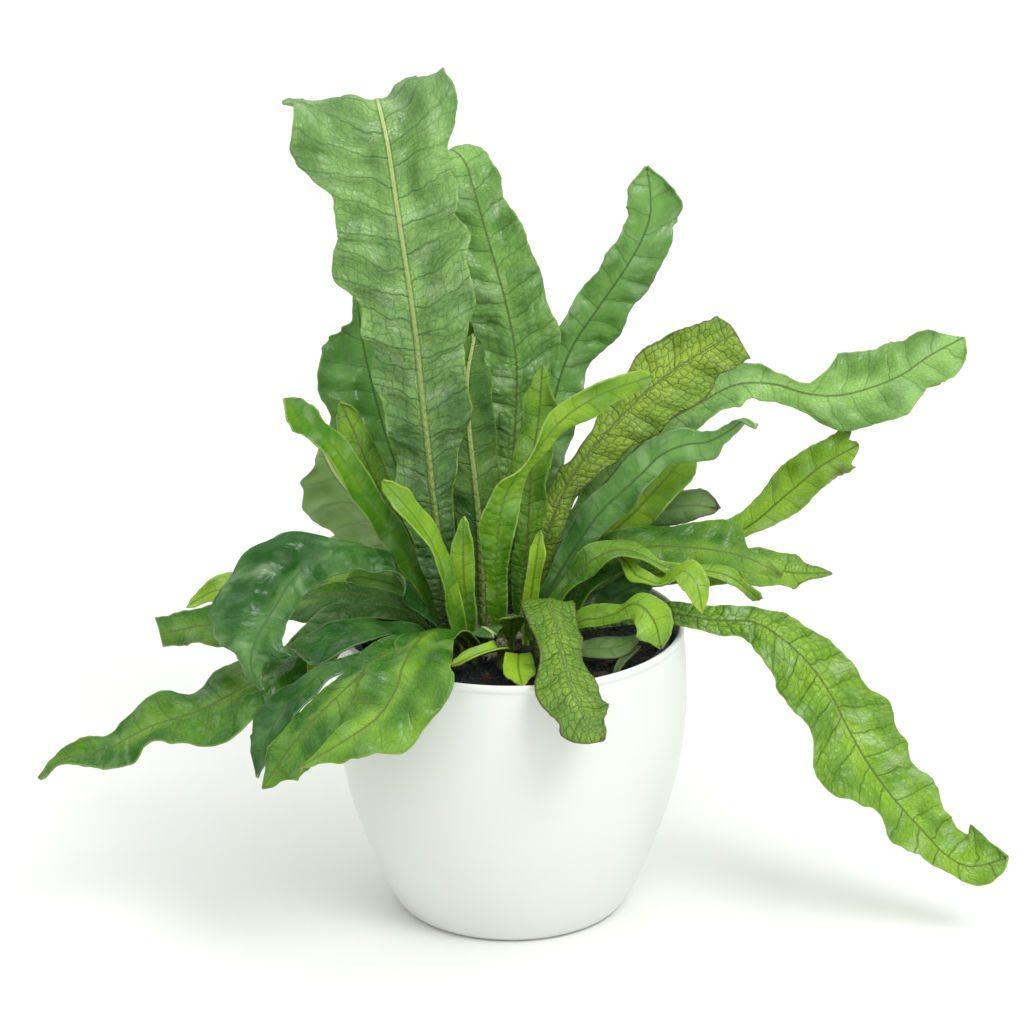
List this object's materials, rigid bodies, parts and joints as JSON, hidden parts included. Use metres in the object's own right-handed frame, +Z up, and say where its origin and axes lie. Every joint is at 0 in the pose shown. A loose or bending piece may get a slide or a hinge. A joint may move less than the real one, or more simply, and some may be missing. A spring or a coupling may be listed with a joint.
{
  "type": "potted fern",
  "caption": "Potted crocodile fern: long waved strap fronds with quilted faces rise and arch out of a plain white round cover pot.",
  "frame": {"origin": "middle of the cover pot's base, on the surface the pot stands on", "axes": "+Z up; the side seen in the picture faces -Y, so +X is to the viewer's right"},
  "size_m": [0.5313, 0.3227, 0.4665],
  "materials": {
    "cover_pot": "white, smooth satin",
    "grow_pot": "black, satin",
    "soil": "dark, crumbly",
    "rhizome": "scaly, whitish green",
    "frond_mid": "waxy, mid green with a raised net of veins",
    "frond_deep": "waxy, deep green with a raised net of veins",
    "frond_lime": "waxy, lime green with a faint net of veins",
    "frond_net": "yellow-green cells in a dark green net",
    "frond_dull": "dull grey green, dry edges"
  },
  "bodies": {
    "root": {"cover_pot": "cover_pot", "grow_pot": "grow_pot", "soil": "soil", "rhizome": "rhizome", "frond_tall_front": "frond_mid", "frond_tall_back": "frond_mid", "frond_upper_right": "frond_deep", "frond_net_right": "frond_net", "frond_far_right": "frond_mid", "frond_bright_right": "frond_mid", "frond_curly_right": "frond_deep", "frond_broad_dull": "frond_mid", "frond_old_grey": "frond_dull", "frond_dark_point_right": "frond_mid", "frond_long_right": "frond_mid", "frond_small_curl_right": "frond_lime", "frond_winding_right": "frond_mid", "frond_hook_right": "frond_mid", "frond_olive_low": "frond_dull", "frond_pale_stub": "frond_dull", "frond_net_front": "frond_net", "frond_front_left": "frond_mid", "frond_front_left_under": "frond_mid", "frond_narrow_left": "frond_deep", "frond_long_left": "frond_mid", "frond_dark_left": "frond_deep", "frond_upper_left_low": "frond_mid", "frond_arching_left": "frond_deep", "frond_left_behind": "frond_mid", "frond_bright_left": "frond_lime", "frond_small_tip_left": "frond_lime", "frond_young_left": "frond_lime", "frond_young_round": "frond_mid", "frond_lime_twisted_left": "frond_lime", "frond_back_left_dark": "frond_deep", "frond_back_left_pale": "frond_dull", "frond_centre_upright": "frond_mid", "frond_small_tongue": "frond_lime", "frond_centre_tongue": "frond_mid", "frond_lime_twisted_right": "frond_lime", "frond_lime_finger": "frond_lime", "frond_behind_net": "frond_mid", "frond_jagged_right": "frond_lime", "frond_dark_low_right": "frond_deep", "frond_rolled_lime_front": "frond_lime", "frond_lime_lobe_front": "frond_lime", "frond_dark_front": "frond_deep", "frond_mid_lobe_front": "frond_mid", "frond_back_arch": "frond_mid", "frond_back_right_low": "frond_mid", "frond_back_left_low": "frond_mid", "frond_back_tall": "frond_deep", "frond_back_bend": "frond_lime"}
  },
  "joints": []
}
